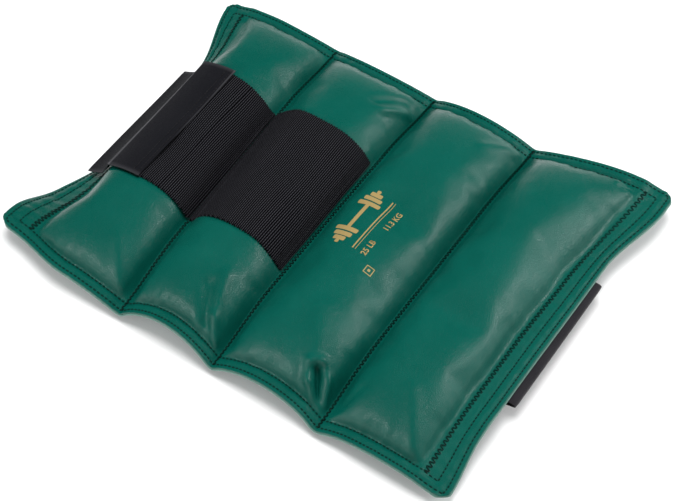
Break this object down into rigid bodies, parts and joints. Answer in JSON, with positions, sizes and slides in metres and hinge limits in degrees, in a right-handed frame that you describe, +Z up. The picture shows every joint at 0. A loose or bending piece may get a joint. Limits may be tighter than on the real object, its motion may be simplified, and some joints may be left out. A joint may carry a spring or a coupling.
{
  "type": "ankle cuff weight",
  "caption": "Wrap-around ankle weight: flat green vinyl pad of sewn shot-filled pockets, with a wide elastic strap, a hook tab and a folded loop strap.",
  "frame": {"origin": "centre of the bounding box on the floor under the pad", "axes": "+X along the wrap, from the hook tab to the loop strap; +Y across the wrap; +Z up from the side that faces the leg"},
  "size_m": [0.412, 0.311, 0.0442],
  "materials": {
    "vinyl": "dark green leather-grain coated vinyl, semi-gloss",
    "thread": "green polyester sewing thread",
    "dark_thread": "dark grey polyester sewing thread",
    "elastic": "black woven elastic, ribbed",
    "hook_backing": "dark grey woven nylon backing",
    "hook_pile": "fine moulded hooks",
    "loop_webbing": "dark woven nylon tape",
    "loop_pile": "soft looped pile",
    "liner": "thin clear bag film",
    "shot": "small dull steel shot",
    "gold_print": "gold foil print"
  },
  "bodies": {
    "pocket_2": {"cover_top_2": "vinyl", "cover_bottom_2": "vinyl", "liner_bag_2": "liner", "shot_fill_2": "shot", "hem_thread_2": "thread", "seam_thread_1": "thread", "seam_thread_2": "thread", "elastic_band": "elastic", "band_thread": "dark_thread"},
    "pocket_1": {"cover_top_1": "vinyl", "cover_bottom_1": "vinyl", "liner_bag_1": "liner", "shot_fill_1": "shot", "hem_thread_1": "thread", "end_hem_thread_left": "thread", "zigzag_thread_left": "thread"},
    "pocket_3": {"cover_top_3": "vinyl", "cover_bottom_3": "vinyl", "liner_bag_3": "liner", "shot_fill_3": "shot", "hem_thread_3": "thread", "seam_thread_3": "thread", "weight_mark": "gold_print"},
    "pocket_4": {"cover_top_4": "vinyl", "cover_bottom_4": "vinyl", "liner_bag_4": "liner", "shot_fill_4": "shot", "hem_thread_4": "thread", "end_hem_thread_right": "thread", "zigzag_thread_right": "thread", "loop_strap": "loop_webbing", "loop_thread": "dark_thread"},
    "strap": {"strap_root": "elastic", "strap_thread": "dark_thread"},
    "strap_end": {"strap_end": "elastic", "tab_thread": "dark_thread"},
    "tab": {"hook_tab": "hook_backing", "hook_pile": "hook_pile"},
    "tail": {"loop_tail": "loop_webbing", "loop_pile": "loop_pile"}
  },
  "joints": [
    {"name": "seam_12", "type": "hinge", "parent": "pocket_2", "child": "pocket_1", "pos_m": [-0.092, 0, 0.019], "axis": [0, -1, 0], "range_deg": [-10, 65]},
    {"name": "seam_23", "type": "hinge", "parent": "pocket_2", "child": "pocket_3", "pos_m": [0, 0, 0.019], "axis": [0, 1, 0], "range_deg": [-15, 65]},
    {"name": "seam_34", "type": "hinge", "parent": "pocket_3", "child": "pocket_4", "pos_m": [0.092, 0, 0.019], "axis": [0, 1, 0], "range_deg": [-15, 65]},
    {"name": "strap_peel", "type": "hinge", "parent": "pocket_1", "child": "strap", "pos_m": [-0.092, 0, 0.02125], "axis": [0, 1, 0], "range_deg": [0, 30]},
    {"name": "strap_bend", "type": "hinge", "parent": "strap", "child": "strap_end", "pos_m": [-0.11, 0, 0.0395], "axis": [0, 1, 0], "range_deg": [0, 55]},
    {"name": "tab_lift", "type": "hinge", "parent": "strap_end", "child": "tab", "pos_m": [-0.136, 0, 0.04334], "axis": [0, 1, 0], "range_deg": [0, 60]},
    {"name": "tail_unfold", "type": "hinge", "parent": "pocket_4", "child": "tail", "pos_m": [0.1994, 0, 0.01435], "axis": [0, -1, 0], "range_deg": [0, 160]}
  ]
}
